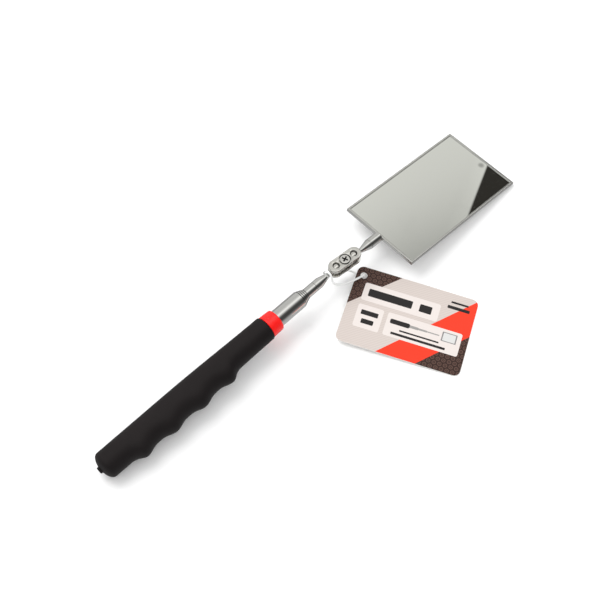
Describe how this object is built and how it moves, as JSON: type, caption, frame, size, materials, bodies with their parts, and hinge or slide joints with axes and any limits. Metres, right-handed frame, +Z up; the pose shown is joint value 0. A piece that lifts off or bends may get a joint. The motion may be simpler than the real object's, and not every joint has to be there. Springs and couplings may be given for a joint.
{
  "type": "telescoping inspection mirror",
  "caption": "Rectangular framed mirror on a double-ball clamp at the end of a telescoping rod with a contoured grip, hang tag looped on.",
  "frame": {"origin": "on the surface the tool lies on, under the middle of the tool's footprint without its hang tag", "axes": "+X from the butt of the grip to the mirror, +Z up, finger crests and hang tag towards -Y"},
  "size_m": [0.2879, 0.1109, 0.0193],
  "materials": {
    "grip_rubber": "matt, finely grained, near black",
    "red_gloss": "smooth, high gloss, saturated red",
    "chrome": "bright chrome plating on steel",
    "nickel": "nickel plated, softly polished with fine scratches",
    "brass": "plain turned",
    "plug_plastic": "moulded, natural",
    "mirror": "silvered glass",
    "backing_card": "plain fibre card",
    "tag_print": "printed card, satin",
    "loop_plastic": "translucent white filament"
  },
  "bodies": {
    "handle": {"grip_sleeve": "grip_rubber", "collar_ring": "red_gloss", "outer_tube": "chrome", "rear_plug": "plug_plastic"},
    "section_1": {"section_1_tube": "chrome", "section_1_sleeve": "brass"},
    "section_2": {"section_2_tube": "chrome", "section_2_sleeve": "brass"},
    "section_3": {"section_3_tube": "chrome", "section_3_sleeve": "brass"},
    "section_4": {"section_4_tube": "chrome", "section_4_sleeve": "brass", "tag_loop": "loop_plastic", "loop_lock": "loop_plastic", "tag_card": "tag_print"},
    "rod_pin": {"rod_pin": "chrome"},
    "rod_ball": {"rod_ball": "nickel"},
    "clamp": {"clamp_plate_front": "nickel", "clamp_plate_rear": "nickel", "clamp_screw": "nickel", "clamp_nut": "nickel"},
    "mirror_ball": {"mirror_ball": "nickel"},
    "mirror_pin": {"mirror_pin": "chrome"},
    "mirror_head": {"mirror_shank": "chrome", "tongue_rivet": "chrome", "mirror_frame": "chrome", "backing_pad": "backing_card", "mirror_glass": "mirror"}
  },
  "joints": [
    {"name": "section_1_slide", "type": "slide", "parent": "handle", "child": "section_1", "axis": [0.999, 0, 0.044], "range_m": [0, 0.1205]},
    {"name": "section_2_slide", "type": "slide", "parent": "section_1", "child": "section_2", "axis": [0.999, 0, 0.044], "range_m": [0, 0.1205]},
    {"name": "section_3_slide", "type": "slide", "parent": "section_2", "child": "section_3", "axis": [0.999, 0, 0.044], "range_m": [0, 0.1205]},
    {"name": "section_4_slide", "type": "slide", "parent": "section_3", "child": "section_4", "axis": [0.999, 0, 0.044], "range_m": [0, 0.1205]},
    {"name": "rod_spin", "type": "hinge", "parent": "section_4", "child": "rod_pin", "pos_m": [0.02096, 0.00005, 0.01462], "axis": [0.999, 0, 0.044], "continuous": true},
    {"name": "rod_tilt", "type": "hinge", "parent": "rod_pin", "child": "rod_ball", "pos_m": [0.02096, 0.00005, 0.01462], "axis": [0, 1, 0], "range_deg": [-10.2, 1]},
    {"name": "clamp_swing", "type": "hinge", "parent": "rod_ball", "child": "clamp", "pos_m": [0.02096, 0.00005, 0.01462], "axis": [-0.0363, 0, -0.9993], "range_deg": [-103.3, 96.7], "deforming": ["tag_loop"]},
    {"name": "mirror_swing", "type": "hinge", "parent": "clamp", "child": "mirror_ball", "pos_m": [0.03363, -0.00069, 0.01416], "axis": [0.0363, 0, 0.9993], "range_deg": [-103.9, 96.1]},
    {"name": "mirror_tilt", "type": "hinge", "parent": "mirror_ball", "child": "mirror_pin", "pos_m": [0.03363, -0.00069, 0.01416], "axis": [-0.0105, 0.9999, 0.0004], "range_deg": [-10.2, 1]},
    {"name": "mirror_spin", "type": "hinge", "parent": "mirror_pin", "child": "mirror_head", "pos_m": [0.03363, -0.00069, 0.01416], "axis": [0.9932, 0.0104, -0.1163], "continuous": true}
  ]
}
